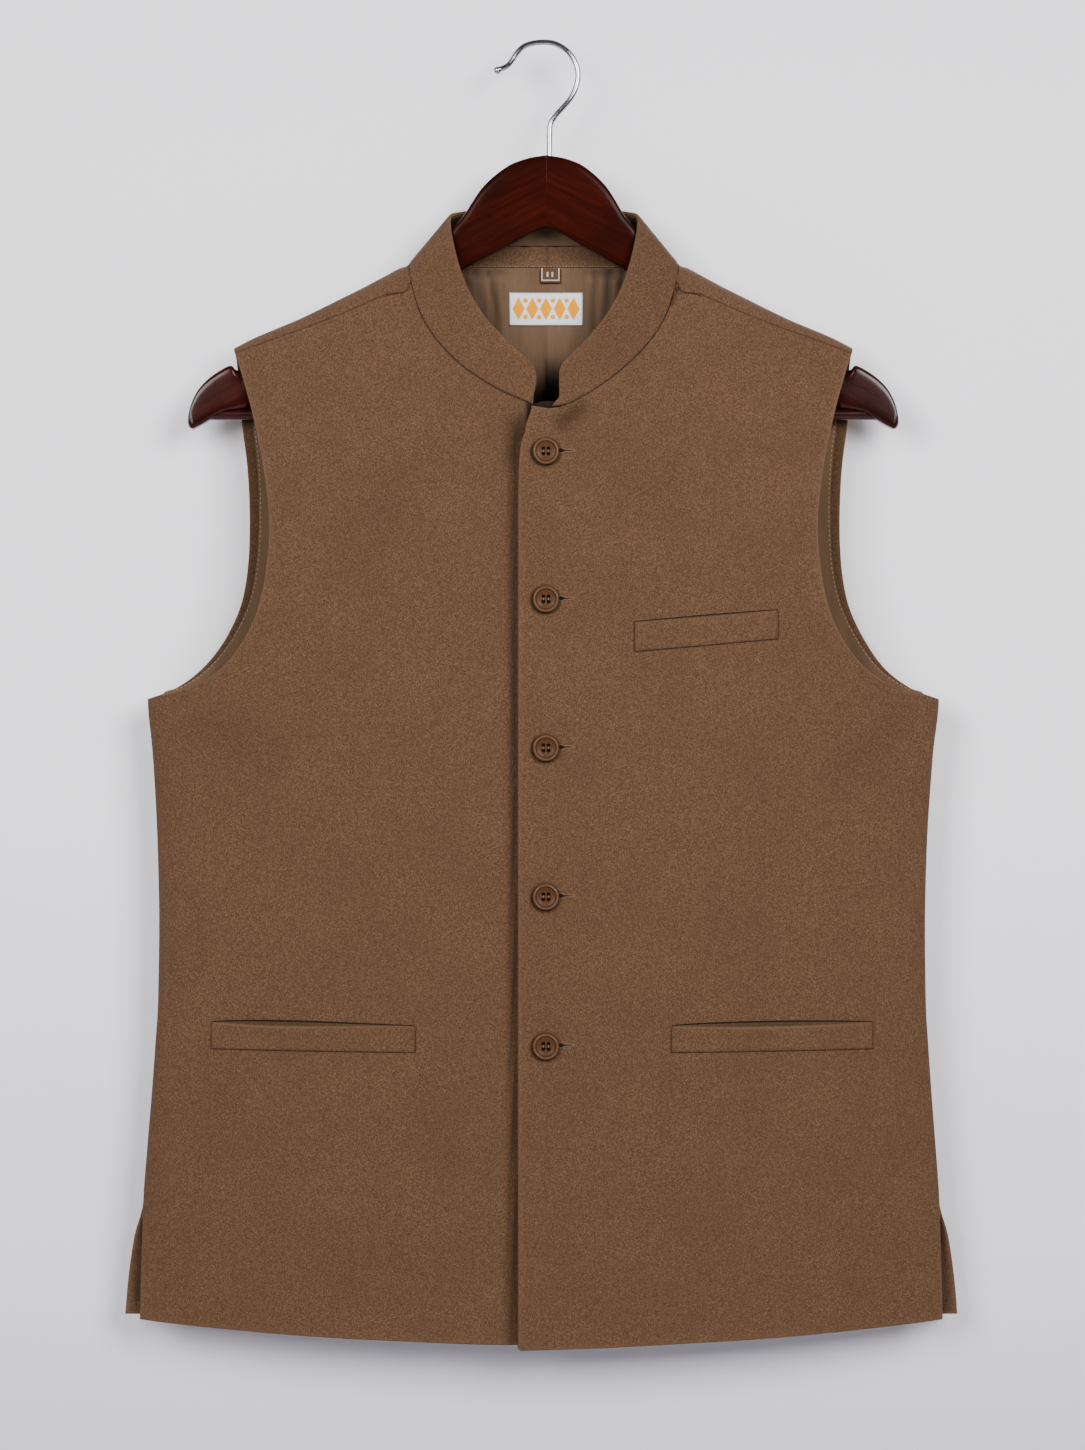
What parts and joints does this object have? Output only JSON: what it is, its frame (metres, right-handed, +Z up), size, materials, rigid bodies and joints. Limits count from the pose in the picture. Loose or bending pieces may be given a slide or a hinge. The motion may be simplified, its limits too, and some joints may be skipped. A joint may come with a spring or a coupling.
{
  "type": "sleeveless nehru jacket on a wooden suit hanger",
  "caption": "Stand-collar sleeveless wool waistcoat, buttoned over at the front with a chest welt and two lower welts, side vents and tan lining, on a notched wooden hanger with a wire hook.",
  "frame": {"origin": "underside of the top of the hanger's hook, where a rail or wall pin holds it", "axes": "+Z up along the hook and the button line, the front of the jacket faces -Y, +X is the wearer's left"},
  "size_m": [0.532, 0.0651, 0.8304],
  "materials": {
    "brown_wool": "felted, matt",
    "tan_lining": "satin lining",
    "mahogany": "gloss varnish",
    "chrome": "bright",
    "brown_button": "polished",
    "label_cloth": "woven, matt",
    "size_tab_cloth": "woven, matt"
  },
  "bodies": {
    "root": {"back": "brown_wool", "front_left": "brown_wool", "front_right": "brown_wool", "collar": "brown_wool", "back_neck_facing": "brown_wool", "chest_welt": "brown_wool", "pocket_welt_left": "brown_wool", "pocket_welt_right": "brown_wool", "back_lining": "tan_lining", "collar_lining": "tan_lining", "brand_label": "label_cloth", "size_tab": "size_tab_cloth", "hanger_arm_left": "mahogany", "hanger_arm_right": "mahogany", "hanger_bar": "mahogany", "hanger_hook": "chrome", "button_1": "brown_button", "button_2": "brown_button", "button_3": "brown_button", "button_4": "brown_button", "button_5": "brown_button"}
  },
  "joints": []
}
